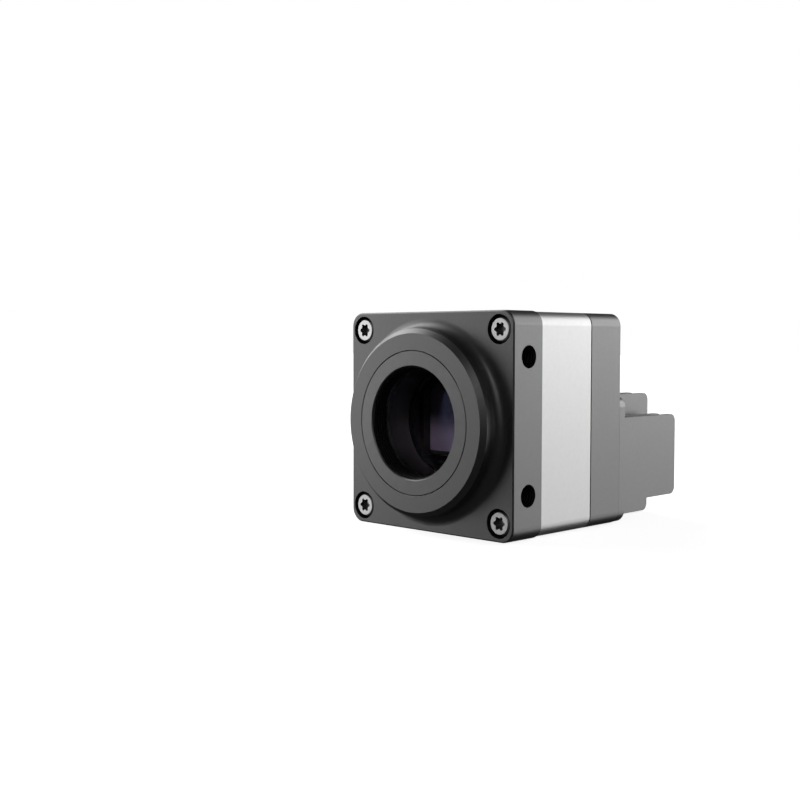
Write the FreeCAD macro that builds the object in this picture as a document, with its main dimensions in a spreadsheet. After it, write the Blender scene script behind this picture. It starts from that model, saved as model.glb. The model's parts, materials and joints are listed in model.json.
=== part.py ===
import FreeCAD, Part
import math
import os
import re
import Sketcher

# Machine vision camera with a 1 inch lens mount, a ribbed heat sink, a round input-output socket
# and two miniature coaxial jacks.
#
# Frame: millimetres. The optical axis is the Y axis, and the lens looks along -Y.
# y = 0 is the face that a lens seats on, z = 0 is the optical axis, and +Z is up.

os.makedirs("parts", exist_ok=True)
doc = FreeCAD.newDocument("vision_camera")

# Driving dimensions, in millimetres unless a name says count
SIZES = [
    ("body_size", 50.0),
    ("corner_radius", 3.2),
    ("front_edge_break", 0.3),
    ("front_depth", 9.7),
    ("sleeve_length", 18.2),
    ("rear_depth", 11.5),
    ("shell_step", 0.2),
    ("shell_wall", 2.2),
    ("rear_wall", 3.0),
    ("rear_edge_break", 0.2),
    ("inner_corner_radius", 1.0),
    ("front_seal_inset", 0.6),
    ("front_seal_width", 1.0),
    ("front_seal_depth", 0.8),
    ("rear_seal_inset", 0.35),
    ("rear_seal_thickness", 0.35),
    ("boss_height", 5.25),
    ("boss_margin", 3.8),
    ("boss_chamfer", 1.1),
    ("boss_cove", 2.4),
    ("mount_radius", 12.7),
    ("mount_chamfer", 0.25),
    ("mount_ring_radius", 16.2),
    ("mount_ring_length", 5.6),
    ("mount_ring_clearance", 0.08),
    ("mount_ring_edge", 0.1),
    ("bore_radius", 12.4),
    ("filter_depth", 11.75),
    ("filter_radius", 13.9),
    ("filter_thickness", 1.1),
    ("filter_clearance", 0.1),
    ("filter_gasket_width", 1.2),
    ("filter_gasket_thickness", 0.4),
    ("retaining_ring_width", 1.9),
    ("retaining_ring_length", 1.6),
    ("retaining_slot_width", 1.6),
    ("retaining_slot_depth", 0.7),
    ("flange_distance", 17.526),
    ("die_width", 20.5),
    ("die_height", 15.5),
    ("die_thickness", 0.7),
    ("die_gap_wide", 0.65),
    ("die_gap_high", 0.9),
    ("package_frame", 1.6),
    ("package_lip_height", 1.5),
    ("package_floor", 0.8),
    ("cover_glass_thickness", 0.7),
    ("cover_glass_inset", 0.5),
    ("board_gap", 2.6),
    ("board_corner_cut", 4.6),
    ("board_thickness", 1.6),
    ("board_hole_inset_x", 2.8),
    ("board_hole_inset_z", 4.8),
    ("board_hole_radius", 1.15),
    ("post_radius", 2.5),
    ("post_tap_radius", 0.85),
    ("post_tap_depth", 3.4),
    ("standoff_radius", 2.2),
    ("standoff_length", 7.4),
    ("standoff_stud_radius", 0.8),
    ("standoff_stud_length", 3.0),
    ("standoff_tap_depth", 4.0),
    ("board_screw_head_radius", 1.9),
    ("board_screw_head_height", 1.3),
    ("board_screw_reach", 3.0),
    ("link_width", 20.0),
    ("link_depth", 4.0),
    ("link_front_inset", 3.0),
    ("link_rear_rise", 1.4),
    ("processor_size", 19.0),
    ("processor_inset", 0.75),
    ("processor_height", 2.4),
    ("memory_width", 7.5),
    ("memory_length", 10.5),
    ("memory_height", 1.2),
    ("memory_gap", 1.2),
    ("thermal_pad_thickness", 1.0),
    ("spreader_margin", 1.0),
    ("interface_board_height", 14.0),
    ("interface_board_gap", 2.0),
    ("interface_board_thickness", 1.4),
    ("contact_space", 5.0),
    ("interface_hole_inset_x", 3.0),
    ("interface_hole_inset_z", 2.8),
    ("case_screw_inset", 4.1),
    ("case_screw_lobe_radius", 3.6),
    ("case_screw_radius", 1.48),
    ("case_screw_reach", 6.55),
    ("case_screw_clearance", 0.2),
    ("case_screw_tap_depth", 7.5),
    ("thread_clearance", 0.02),
    ("case_head_radius", 2.65),
    ("case_head_height", 1.9),
    ("case_head_sink", 0.25),
    ("case_head_clearance", 0.6),
    ("case_head_edge", 0.3),
    ("recess_radius", 1.2),
    ("recess_lobe_radius", 0.4),
    ("recess_lobe_count", 6),
    ("recess_depth", 1.2),
    ("side_hole_radius", 2.5),
    ("side_hole_depth", 6.5),
    ("side_hole_inset", 10.0),
    ("side_hole_setback", 5.05),
    ("connector_zone", 19.75),
    ("sink_rim", 0.1),
    ("sink_plate", 2.2),
    ("sink_plate_round", 2.5),
    ("fin_length", 22.0),
    ("fin_thickness", 1.2),
    ("fin_round", 1.8),
    ("tall_fin_count", 9),
    ("short_fin_count", 2),
    ("short_fin_drop", 5.0),
    ("sink_screw_inset", 2.9),
    ("sink_screw_margin", 2.5),
    ("sink_screw_radius", 0.98),
    ("sink_screw_length", 5.0),
    ("sink_screw_clearance", 0.15),
    ("sink_head_radius", 1.95),
    ("sink_head_height", 1.3),
    ("sink_head_edge", 0.35),
    ("sink_pocket_radius", 2.15),
    ("sink_pocket_depth", 1.1),
    ("sink_boss_radius", 2.2),
    ("sink_boss_length", 2.5),
    ("sink_pad_inset_x", 7.0),
    ("sink_pad_inset_z", 5.0),
    ("sink_pad_thickness", 0.5),
    ("channel_inset", 15.95),
    ("channel_pitch", 9.2),
    ("jack_inset", 6.2),
    ("jack_slot_length", 17.2),
    ("jack_slot_height", 8.3),
    ("jack_slot_depth", 2.0),
    ("jack_ledge", 1.1),
    ("jack_plate_thickness", 1.3),
    ("jack_plate_clearance", 0.05),
    ("jack_length", 7.0),
    ("jack_barrel_radius", 1.95),
    ("jack_barrel_length", 3.1),
    ("jack_neck_radius", 1.45),
    ("jack_groove_width", 0.5),
    ("jack_collar_radius", 1.85),
    ("jack_collar_width", 0.6),
    ("jack_rim_length", 1.2),
    ("jack_bore_radius", 1.2),
    ("jack_tail_length", 1.9),
    ("jack_hole_clearance", 0.1),
    ("jack_insulator_recess", 1.6),
    ("jack_insulator_radius", 1.15),
    ("jack_contact_radius", 0.3),
    ("jack_contact_recess", 0.5),
    ("jack_nut_radius", 3.3),
    ("jack_nut_thickness", 0.9),
    ("jack_nut_edge", 0.25),
    ("led_drop", 7.5),
    ("led_window_radius", 1.6),
    ("led_window_clearance", 0.05),
    ("led_window_recess", 0.15),
    ("led_chip_size", 1.6),
    ("led_chip_height", 0.8),
    ("led_chip_gap", 0.3),
    ("socket_inset_x", 12.3),
    ("socket_inset_z", 8.2),
    ("socket_length", 8.1),
    ("socket_radius", 4.45),
    ("socket_bore_radius", 3.9),
    ("socket_rim_round", 0.2),
    ("socket_flange_radius", 7.0),
    ("socket_flange_edge", 0.3),
    ("socket_flange_front_radius", 6.2),
    ("socket_flange_height", 2.3),
    ("socket_flare", 1.1),
    ("socket_neck_radius", 4.6),
    ("socket_neck_length", 4.8),
    ("socket_hole_clearance", 0.1),
    ("socket_seal_width", 0.9),
    ("socket_seal_depth", 0.5),
    ("socket_nut_radius", 5.3),
    ("socket_nut_thickness", 1.5),
    ("insulator_clearance", 0.04),
    ("insulator_recess", 1.0),
    ("insulator_step", 1.5),
    ("insulator_step_depth", 3.6),
    ("contact_radius", 0.25),
    ("contact_hole_radius", 0.36),
    ("contact_recess", 0.3),
    ("contact_hole_depth", 3.0),
    ("contact_ring_radius", 2.8),
    ("contact_ring_count", 7),
    ("contact_ring_angle", 200.0),
    ("contact_core_radius", 1.2),
    ("contact_core_count", 3),
]

sheet = doc.addObject("Spreadsheet::Sheet", "Sizes")
for row, (alias, value) in enumerate(SIZES, start=1):
    sheet.set(f"A{row}", alias.replace("_", " "))
    sheet.set(f"B{row}", str(value))
    sheet.setAlias(f"B{row}", alias)
doc.recompute()

ALIASES = re.compile(r"\b(" + "|".join(alias for alias, _ in SIZES) + r")\b")

# Stations along the optical axis, from the lens seat backwards
PLATE = "boss_height"
SLEEVE_FRONT = "(boss_height + front_depth)"
SLEEVE_BACK = f"({SLEEVE_FRONT} + sleeve_length)"
REAR_FRONT = f"({SLEEVE_BACK} + rear_seal_thickness)"
REAR_FACE = f"({REAR_FRONT} + rear_depth)"
REAR_INSIDE = f"({REAR_FACE} - rear_wall)"
FILTER_BACK = "(filter_depth + filter_thickness)"
RETAINER_FRONT = f"({FILTER_BACK} + filter_gasket_thickness)"
PACKAGE_FRONT = "(flange_distance - package_lip_height)"
CAVITY_FLOOR = "(flange_distance + die_thickness)"
SENSOR_BOARD = f"({CAVITY_FLOOR} + package_floor)"
SENSOR_BOARD_BACK = f"({SENSOR_BOARD} + board_thickness)"
PROCESSOR_BOARD = f"({SENSOR_BOARD_BACK} + standoff_length)"
PROCESSOR_BOARD_BACK = f"({PROCESSOR_BOARD} + board_thickness)"
PROCESSOR_BACK = f"({PROCESSOR_BOARD_BACK} + processor_height)"
SPREADER_FRONT = f"({PROCESSOR_BACK} + thermal_pad_thickness)"
INTERFACE_BOARD_BACK = f"({REAR_FACE} - contact_space)"
INTERFACE_BOARD = f"({INTERFACE_BOARD_BACK} - interface_board_thickness)"
SINK_FACE = f"({REAR_FACE} + sink_plate)"
CASE_HEAD_FRONT = f"({PLATE} + case_head_sink)"
CASE_SEAT = f"({CASE_HEAD_FRONT} + case_head_height)"
SINK_SEAT = f"({SINK_FACE} - sink_pocket_depth)"
JACK_PLATE_FRONT = f"({REAR_FACE} - jack_slot_depth)"
JACK_PLATE_BACK = f"({JACK_PLATE_FRONT} + jack_plate_thickness)"

# Widths across the body
SHELL = "(body_size - 2 * shell_step)"
SHELL_RADIUS = "(corner_radius - shell_step)"
INSIDE = f"({SHELL} - 2 * shell_wall)"
BOSS_RADIUS = "(body_size / 2 - boss_margin)"
CAVITY_WIDTH = "(die_width + 2 * die_gap_wide)"
CAVITY_HEIGHT = "(die_height + 2 * die_gap_high)"
PACKAGE_WIDTH = f"({CAVITY_WIDTH} + 2 * package_frame)"
PACKAGE_HEIGHT = f"({CAVITY_HEIGHT} + 2 * package_frame)"
BOARD = f"({INSIDE} - 2 * board_gap)"
SPREADER = "(processor_size + 2 * spreader_margin)"
SOCKET_SEAL_RADIUS = "(socket_neck_radius + socket_hole_clearance + socket_seal_width)"
SINK_WIDTH = f"({SHELL} - 2 * sink_rim)"
SINK_HEIGHT = "(body_size - shell_step - sink_rim - connector_zone)"
SHORT_FIN_HEIGHT = f"({SINK_HEIGHT} - 2 * short_fin_drop)"
SINK_PAD_WIDTH = "(body_size - 2 * sink_pad_inset_x)"
SINK_PAD_HEIGHT = f"({SINK_HEIGHT} - 2 * sink_pad_inset_z)"
FIN_PITCH = f"(({SINK_WIDTH} - fin_thickness) / (tall_fin_count + 2 * short_fin_count - 1))"

# Places across the body, from its middle
CASE_SCREW = "(body_size / 2 - case_screw_inset)"
SIDE_HOLE_Z = "(body_size / 2 - side_hole_inset)"
BOARD_HOLE_X = f"({BOARD} / 2 - board_hole_inset_x)"
BOARD_HOLE_Z = f"({BOARD} / 2 - board_hole_inset_z)"
LINK_FRONT_Z = f"(link_front_inset - {BOARD} / 2)"
PROCESSOR_Z = f"(processor_inset + processor_size / 2 - {BOARD} / 2)"
INTERFACE_BOARD_Z = f"({INSIDE} / 2 - interface_board_gap - interface_board_height / 2)"
INTERFACE_HOLE_X = f"({BOARD} / 2 - interface_hole_inset_x)"
INTERFACE_HOLE_Z = f"({INTERFACE_BOARD_Z} - interface_board_height / 2 + interface_hole_inset_z)"
LINK_REAR_Z = f"({INTERFACE_BOARD_Z} + link_rear_rise)"
SINK_Z = f"(shell_step + sink_rim + {SINK_HEIGHT} / 2 - body_size / 2)"
SINK_SCREW_X = "(body_size / 2 - sink_screw_inset)"
SINK_SCREW_RISE = f"({SINK_HEIGHT} / 2 - sink_screw_margin)"
CHANNEL_X = "(body_size / 2 - channel_inset)"
JACK_Z = "(body_size / 2 - jack_inset)"
LED_Z = f"({JACK_Z} - led_drop)"
SOCKET_X = "(socket_inset_x - body_size / 2)"
SOCKET_Z = "(body_size / 2 - socket_inset_z)"

# How far a cut runs on past the surface that it leaves through
OVERRUN = "1"

# An origin plane's normal, as a sign along its own world axis
NORMAL_SIGN = {"XY_Plane": 1, "XZ_Plane": -1, "YZ_Plane": 1}

QUARTER_TURN = math.pi / 2
LEFT_RIGHT = FreeCAD.Vector(1, 0, 0)
DEPTH = FreeCAD.Vector(0, 1, 0)
UP_DOWN = FreeCAD.Vector(0, 0, 1)

nodes = []


def cells(expression):
    """The expression with each alias written as a reference to the sheet."""
    return ALIASES.sub(r"Sizes.\1", str(expression))


def number(expression):
    """The value that the expression has now."""
    result = sheet.evalExpression(cells(expression))
    return float(getattr(result, "Value", result))


def bind(thing, path, expression):
    thing.setExpression(path, cells(expression))


def new_body(label, x="0", y="0", z="0"):
    """A body that is a sub-part of its own, placed by expressions."""
    body = doc.addObject("PartDesign::Body", label)
    body.Label = label
    for axis, expression in (("x", x), ("y", y), ("z", z)):
        bind(body, f"Placement.Base.{axis}", expression)
    return body


def keep(thing):
    """Counts the object as one of the camera's sub-parts."""
    nodes.append(thing)
    return thing


def new_sketch(body, role, station="0"):
    """A sketch on one of the body's origin planes, moved along that plane's own axis."""
    plane = next(item for item in body.Origin.OriginFeatures if item.Role == role)
    sketch = body.newObject("Sketcher::SketchObject", body.Name + "_sketch")
    sketch.AttachmentSupport = [(plane, "")]
    sketch.MapMode = "FlatFace"
    bind(sketch, "AttachmentOffset.Base.z", f"{NORMAL_SIGN[role]} * ({station})")
    return sketch


def constrain(sketch, kind, *where, value=None):
    """Adds a constraint, driven by an expression where a value is given."""
    if value is None:
        sketch.addConstraint(Sketcher.Constraint(kind, *where))
        return
    index = sketch.addConstraint(Sketcher.Constraint(kind, *where, number(value)))
    sketch.renameConstraint(index, f"c{index}")
    bind(sketch, f"Constraints.c{index}", value)


def pin_point(sketch, curve, end, u, v):
    constrain(sketch, "DistanceX", -1, 1, curve, end, value=u)
    constrain(sketch, "DistanceY", -1, 1, curve, end, value=v)


def draw_outline(sketch, points):
    """A closed outline of straight edges through points given as pairs of expressions."""
    spots = [FreeCAD.Vector(number(u), number(v), 0) for u, v in points]
    first = sketch.GeometryCount
    count = len(points)
    for step in range(count):
        sketch.addGeometry(Part.LineSegment(spots[step], spots[(step + 1) % count]), False)
    for step in range(count):
        following = first + (step + 1) % count
        constrain(sketch, "Coincident", first + step, 2, following, 1)
    for step, (u, v) in enumerate(points):
        pin_point(sketch, first + step, 1, u, v)


def draw_rectangle(sketch, width, height, u="0", v="0"):
    left, right = f"{u} - {width} / 2", f"{u} + {width} / 2"
    low, high = f"{v} - {height} / 2", f"{v} + {height} / 2"
    draw_outline(sketch, [(left, low), (right, low), (right, high), (left, high)])


def draw_circle(sketch, radius, u="0", v="0"):
    centre = FreeCAD.Vector(number(u), number(v), 0)
    curve = sketch.addGeometry(Part.Circle(centre, FreeCAD.Vector(0, 0, 1), number(radius)), False)
    pin_point(sketch, curve, 3, u, v)
    constrain(sketch, "Radius", curve, value=radius)


def draw_corners(sketch, radius, offset_u, offset_v):
    """The same circle at four places that mirror each other."""
    for sign_u in (-1, 1):
        for sign_v in (-1, 1):
            draw_circle(sketch, radius, f"{sign_u} * {offset_u}", f"{sign_v} * {offset_v}")


def draw_rounded_rectangle(sketch, width, height, radius, u="0", v="0"):
    """A rectangle whose corners are arcs, tangent to its sides."""
    half_u, half_v, round_ = number(width) / 2, number(height) / 2, number(radius)
    mid_u, mid_v = number(u), number(v)
    turn = [(1, 1), (-1, 1), (-1, -1), (1, -1)]
    arcs = []
    for step, (sign_u, sign_v) in enumerate(turn):
        centre = FreeCAD.Vector(mid_u + sign_u * (half_u - round_), mid_v + sign_v * (half_v - round_), 0)
        circle = Part.Circle(centre, FreeCAD.Vector(0, 0, 1), round_)
        arc = Part.ArcOfCircle(circle, step * QUARTER_TURN, (step + 1) * QUARTER_TURN)
        arcs.append(sketch.addGeometry(arc, False))
    sides = []
    for step in range(4):
        start = sketch.getPoint(arcs[step], 2)
        end = sketch.getPoint(arcs[(step + 1) % 4], 1)
        sides.append(sketch.addGeometry(Part.LineSegment(start, end), False))
    for step in range(4):
        constrain(sketch, "Tangent", arcs[step], 2, sides[step], 1)
        constrain(sketch, "Tangent", sides[step], 2, arcs[(step + 1) % 4], 1)
        constrain(sketch, "Horizontal" if step % 2 == 0 else "Vertical", sides[step])
    for step in range(3):
        constrain(sketch, "Equal", arcs[step], arcs[step + 1])
    constrain(sketch, "Radius", arcs[0], value=radius)
    constrain(sketch, "DistanceY", -1, 1, sides[0], 1, value=f"{v} + {height} / 2")
    constrain(sketch, "DistanceX", -1, 1, sides[1], 1, value=f"{u} - {width} / 2")
    constrain(sketch, "DistanceY", -1, 1, sides[2], 1, value=f"{v} - {height} / 2")
    constrain(sketch, "DistanceX", -1, 1, sides[3], 1, value=f"{u} + {width} / 2")


def draw_slot(sketch, length, height, u="0", v="0"):
    """A slot along u with half-round ends."""
    reach, end_radius = number(f"({length} - {height}) / 2"), number(f"{height} / 2")
    ends = []
    for sign in (1, -1):
        centre = FreeCAD.Vector(number(u) + sign * reach, number(v), 0)
        circle = Part.Circle(centre, FreeCAD.Vector(0, 0, 1), end_radius)
        arc = Part.ArcOfCircle(circle, -sign * QUARTER_TURN, (2 - sign) * QUARTER_TURN)
        ends.append(sketch.addGeometry(arc, False))
    right, left = ends
    upper = sketch.addGeometry(
        Part.LineSegment(sketch.getPoint(right, 2), sketch.getPoint(left, 1)), False)
    lower = sketch.addGeometry(
        Part.LineSegment(sketch.getPoint(left, 2), sketch.getPoint(right, 1)), False)
    for one, other in ((right, upper), (upper, left), (left, lower), (lower, right)):
        constrain(sketch, "Tangent", one, 2, other, 1)
    constrain(sketch, "Horizontal", upper)
    pin_point(sketch, right, 3, f"{u} + ({length} - {height}) / 2", v)
    pin_point(sketch, left, 3, f"{u} - ({length} - {height}) / 2", v)
    constrain(sketch, "Radius", right, value=f"{height} / 2")


def feature(body, kind, sketch, **settings):
    made = body.newObject(kind, body.Name + "_feature")
    made.Profile = sketch
    for name, setting in settings.items():
        setattr(made, name, setting)
    return made


def pad(body, sketch, length, backwards=True):
    """Adds material. From an XZ sketch it grows along +Y, and from others along the normal."""
    made = feature(body, "PartDesign::Pad", sketch)
    made.Reversed = backwards
    bind(made, "Length", length)
    doc.recompute()
    return made


def check_cut(body, made, before):
    """A cut that points away from the solid removes nothing, which is an error."""
    doc.recompute()
    if body.Shape.Volume > before - 1e-6:
        raise RuntimeError(f"{made.Name} of {body.Label} removes nothing")
    return made


def pocket(body, sketch, length, towards_normal=False):
    """Removes material. From an XZ sketch it cuts along +Y unless it is turned round."""
    before = body.Shape.Volume
    made = feature(body, "PartDesign::Pocket", sketch)
    made.Reversed = towards_normal
    bind(made, "Length", length)
    return check_cut(body, made, before)


def turn(body, points, cut=False):
    """Revolves an outline about the body's own Y axis. A point is a radius and a station."""
    before = body.Shape.Volume if cut else 0
    sketch = new_sketch(body, "XY_Plane")
    draw_outline(sketch, points)
    kind = "PartDesign::Groove" if cut else "PartDesign::Revolution"
    made = feature(body, kind, sketch, ReferenceAxis=(sketch, ["V_Axis"]), Angle=360.0)
    if cut:
        return check_cut(body, made, before)
    doc.recompute()
    return made


def edge_names(thing, wanted):
    """Names of the edges for which wanted(edge) holds."""
    return [f"Edge{index}" for index, edge in enumerate(thing.Shape.Edges, start=1) if wanted(edge)]


def straight_along(axis):
    """A test for straight edges that run along one world axis."""
    def test(edge):
        if not isinstance(edge.Curve, Part.Line):
            return False
        return abs(abs(edge.Curve.Direction.dot(axis)) - 1) < 1e-6
    return test


def is_ring(edge, radius, station):
    """Whether the edge is a circle about the body's own Y axis, of that radius at that station."""
    if not isinstance(edge.Curve, Part.Circle):
        return False
    centre = edge.Curve.Center
    centred = abs(centre.x) < 1e-6 and abs(centre.z) < 1e-6
    return centred and abs(edge.Curve.Radius - radius) < 1e-4 and abs(centre.y - station) < 1e-4


def dress(body, kind, names, path, expression):
    """A fillet or chamfer on the named edges of the body's last feature."""
    base = body.Tip
    made = body.newObject(kind, body.Name + "_edges")
    made.Base = (base, names)
    bind(made, path, expression)
    doc.recompute()
    return made


def round_ring(label, inner, outer, front, back, x="0", y="0", z="0"):
    """A plain turned ring or, where inner is 0, a disc."""
    body = keep(new_body(label, x, y, z))
    turn(body, [(inner, front), (outer, front), (outer, back), (inner, back)])
    return body


def block(label, width, height, front, length, x="0", z="0"):
    """A rectangular piece that stands on station front and grows backwards."""
    body = keep(new_body(label))
    sketch = new_sketch(body, "XZ_Plane", front)
    draw_rectangle(sketch, width, height, x, z)
    pad(body, sketch, length)
    return body


def mirrored(source, normal, base_z="0"):
    """A mirror image across a plane square to the normal."""
    made = doc.addObject("Part::Mirroring", source.Name + "_mirror")
    made.Source = source
    made.Normal = normal
    bind(made, "Base.z", base_z)
    return made


def group(label, members):
    """Separate like solids that make one sub-part."""
    made = keep(doc.addObject("Part::Compound", label))
    made.Label = label
    made.Links = members
    return made


def four_of(label, source, base_z="0"):
    """The source and its images left and right, above and below."""
    across = mirrored(source, LEFT_RIGHT)
    up = mirrored(source, UP_DOWN, base_z)
    both = mirrored(across, UP_DOWN, base_z)
    return group(label, [source, across, up, both])


def two_of(label, source):
    return group(label, [source, mirrored(source, LEFT_RIGHT)])


def front_housing():
    """Machined front shell: square plate, round lens boss, bores, screw seats and board posts."""
    body = keep(new_body("front_housing"))
    plate = new_sketch(body, "XZ_Plane", PLATE)
    draw_rounded_rectangle(plate, "body_size", "body_size", "corner_radius")
    pad(body, plate, "front_depth")

    # The plate's front outline is broken by a fine chamfer before the boss joins it.
    face_y = number(PLATE)
    outline = edge_names(body.Tip, lambda edge: edge.BoundBox.YMax < face_y + 1e-4)
    dress(body, "PartDesign::Chamfer", outline, "Size", "front_edge_break")

    turn(body, [
        ("0", "0"),
        (f"{BOSS_RADIUS} - boss_chamfer", "0"),
        (BOSS_RADIUS, "boss_chamfer"),
        (BOSS_RADIUS, f"{PLATE} + front_edge_break"),
        ("0", f"{PLATE} + front_edge_break"),
    ])
    boss_radius = number(BOSS_RADIUS)
    foot = edge_names(body.Tip, lambda edge: is_ring(edge, boss_radius, face_y))
    dress(body, "PartDesign::Fillet", foot, "Radius", "boss_cove")

    # Bore: ring seat, light path and the filter's seat from behind
    ring_seat = "(mount_ring_radius + mount_ring_clearance)"
    filter_seat = "filter_radius + filter_clearance"
    turn(body, [
        ("0", f"-{OVERRUN}"),
        (f"{ring_seat} + mount_ring_edge + {OVERRUN}", f"-{OVERRUN}"),
        (ring_seat, "mount_ring_edge"),
        (ring_seat, "mount_ring_length"),
        ("bore_radius", "mount_ring_length"),
        ("bore_radius", "filter_depth"),
        (filter_seat, "filter_depth"),
        (filter_seat, f"{SLEEVE_FRONT} + {OVERRUN}"),
        ("0", f"{SLEEVE_FRONT} + {OVERRUN}"),
    ], cut=True)

    seats = new_sketch(body, "XZ_Plane", PLATE)
    draw_corners(seats, "case_head_radius + case_head_clearance", CASE_SCREW, CASE_SCREW)
    pocket(body, seats, f"{CASE_SEAT} - {PLATE}")
    shanks = new_sketch(body, "XZ_Plane", PLATE)
    draw_corners(shanks, "case_screw_radius + case_screw_clearance", CASE_SCREW, CASE_SCREW)
    pocket(body, shanks, "front_depth")

    for sign, towards_normal in ((1, False), (-1, True)):
        holes = new_sketch(body, "YZ_Plane", f"{sign} * body_size / 2")
        for side in (-1, 1):
            setback = f"{PLATE} + side_hole_setback"
            draw_circle(holes, "side_hole_radius", setback, f"{side} * {SIDE_HOLE_Z}")
        pocket(body, holes, "side_hole_depth", towards_normal)

    groove = new_sketch(body, "XZ_Plane", f"{SLEEVE_FRONT} - front_seal_depth")
    draw_seal(groove)
    pocket(body, groove, "front_seal_depth")

    posts = new_sketch(body, "XZ_Plane", SLEEVE_FRONT)
    draw_corners(posts, "post_radius", BOARD_HOLE_X, BOARD_HOLE_Z)
    pad(body, posts, f"{SENSOR_BOARD} - {SLEEVE_FRONT}")
    taps = new_sketch(body, "XZ_Plane", f"{SENSOR_BOARD} - post_tap_depth")
    draw_corners(taps, "post_tap_radius", BOARD_HOLE_X, BOARD_HOLE_Z)
    pocket(body, taps, "post_tap_depth")


def draw_seal(sketch):
    """The loop of the front seal, in the middle of the sleeve's wall."""
    outer = f"({SHELL} - 2 * front_seal_inset)"
    inner = f"({outer} - 2 * front_seal_width)"
    outer_radius = f"({SHELL_RADIUS} - front_seal_inset)"
    draw_rounded_rectangle(sketch, outer, outer, outer_radius)
    draw_rounded_rectangle(sketch, inner, inner, f"({outer_radius} - front_seal_width)")


def lens_mount_ring():
    """The threaded ring that a lens screws into, let into the boss."""
    body = keep(new_body("lens_mount_ring"))
    turn(body, [
        ("mount_radius + mount_chamfer", "0"),
        ("mount_ring_radius - mount_ring_edge", "0"),
        ("mount_ring_radius", "mount_ring_edge"),
        ("mount_ring_radius", "mount_ring_length"),
        ("mount_radius", "mount_ring_length"),
        ("mount_radius", "mount_chamfer"),
    ])


def filter_stack():
    """The glass filter behind the mount, its gasket and the slotted ring that holds them."""
    round_ring("filter_glass", "0", "filter_radius", "filter_depth", FILTER_BACK)
    gasket_inner = "filter_radius - filter_gasket_width"
    round_ring("filter_gasket", gasket_inner, "filter_radius", FILTER_BACK, RETAINER_FRONT)
    ring_inner = "filter_radius - retaining_ring_width"
    ring_back = f"({RETAINER_FRONT} + retaining_ring_length)"
    ring = round_ring("filter_retaining_ring", ring_inner, "filter_radius", RETAINER_FRONT, ring_back)
    slots = new_sketch(ring, "XZ_Plane", f"{ring_back} - retaining_slot_depth")
    draw_rectangle(slots, "retaining_slot_width", f"2 * (filter_radius + {OVERRUN})")
    pocket(ring, slots, "retaining_slot_depth")


def image_sensor():
    """Ceramic package with a cavity, the die in it and the cover glass on it."""
    package = block("sensor_package", PACKAGE_WIDTH, PACKAGE_HEIGHT, PACKAGE_FRONT,
                    f"{SENSOR_BOARD} - {PACKAGE_FRONT}")
    cavity = new_sketch(package, "XZ_Plane", PACKAGE_FRONT)
    draw_rectangle(cavity, CAVITY_WIDTH, CAVITY_HEIGHT)
    pocket(package, cavity, f"{CAVITY_FLOOR} - {PACKAGE_FRONT}")
    block("sensor_die", "die_width", "die_height", "flange_distance", "die_thickness")
    block("sensor_cover_glass", f"({PACKAGE_WIDTH} - 2 * cover_glass_inset)",
          f"({PACKAGE_HEIGHT} - 2 * cover_glass_inset)", f"{PACKAGE_FRONT} - cover_glass_thickness",
          "cover_glass_thickness")


def circuit_board(label, front):
    """A square board with cut corners and four screw holes."""
    board = block(label, BOARD, BOARD, front, "board_thickness")
    corners = edge_names(board.Tip, straight_along(DEPTH))
    dress(board, "PartDesign::Chamfer", corners, "Size", "board_corner_cut")
    holes = new_sketch(board, "XZ_Plane", front)
    draw_corners(holes, "board_hole_radius", BOARD_HOLE_X, BOARD_HOLE_Z)
    pocket(board, holes, "board_thickness")
    return board


def board_stack():
    """Sensor and processor boards, what is on them, their spacers, links and screws."""
    circuit_board("sensor_board", SENSOR_BOARD)
    circuit_board("processor_board", PROCESSOR_BOARD)

    spacer = new_body("standoff_model", BOARD_HOLE_X, "0", BOARD_HOLE_Z)
    stud_tip = f"({SENSOR_BOARD} - standoff_stud_length)"
    turn(spacer, [
        ("0", stud_tip),
        ("standoff_stud_radius", stud_tip),
        ("standoff_stud_radius", SENSOR_BOARD_BACK),
        ("standoff_radius", SENSOR_BOARD_BACK),
        ("standoff_radius", PROCESSOR_BOARD),
        ("post_tap_radius", PROCESSOR_BOARD),
        ("post_tap_radius", f"{PROCESSOR_BOARD} - standoff_tap_depth"),
        ("0", f"{PROCESSOR_BOARD} - standoff_tap_depth"),
    ])
    four_of("board_standoffs", spacer)
    screw = new_body("board_screw_model", BOARD_HOLE_X, PROCESSOR_BOARD_BACK, BOARD_HOLE_Z)
    turn_board_screw(screw, "board_thickness")
    four_of("board_screws", screw)

    block("board_link_front", "link_width", "link_depth", SENSOR_BOARD_BACK, "standoff_length",
          z=LINK_FRONT_Z)
    block("board_link_rear", "link_width", "link_depth", PROCESSOR_BOARD_BACK,
          f"{INTERFACE_BOARD} - {PROCESSOR_BOARD_BACK}", z=LINK_REAR_Z)
    block("processor_chip", "processor_size", "processor_size", PROCESSOR_BOARD_BACK, "processor_height",
          z=PROCESSOR_Z)
    block("processor_thermal_pad", "processor_size", "processor_size", PROCESSOR_BACK,
          "thermal_pad_thickness", z=PROCESSOR_Z)

    chip = new_body("memory_model")
    outline = new_sketch(chip, "XZ_Plane", PROCESSOR_BOARD_BACK)
    beside = "(processor_size / 2 + memory_gap + memory_width / 2)"
    draw_rectangle(outline, "memory_width", "memory_length", beside, f"processor_size / 4 + {PROCESSOR_Z}")
    pad(chip, outline, "memory_height")
    two_of("memory_chips", chip)


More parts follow.
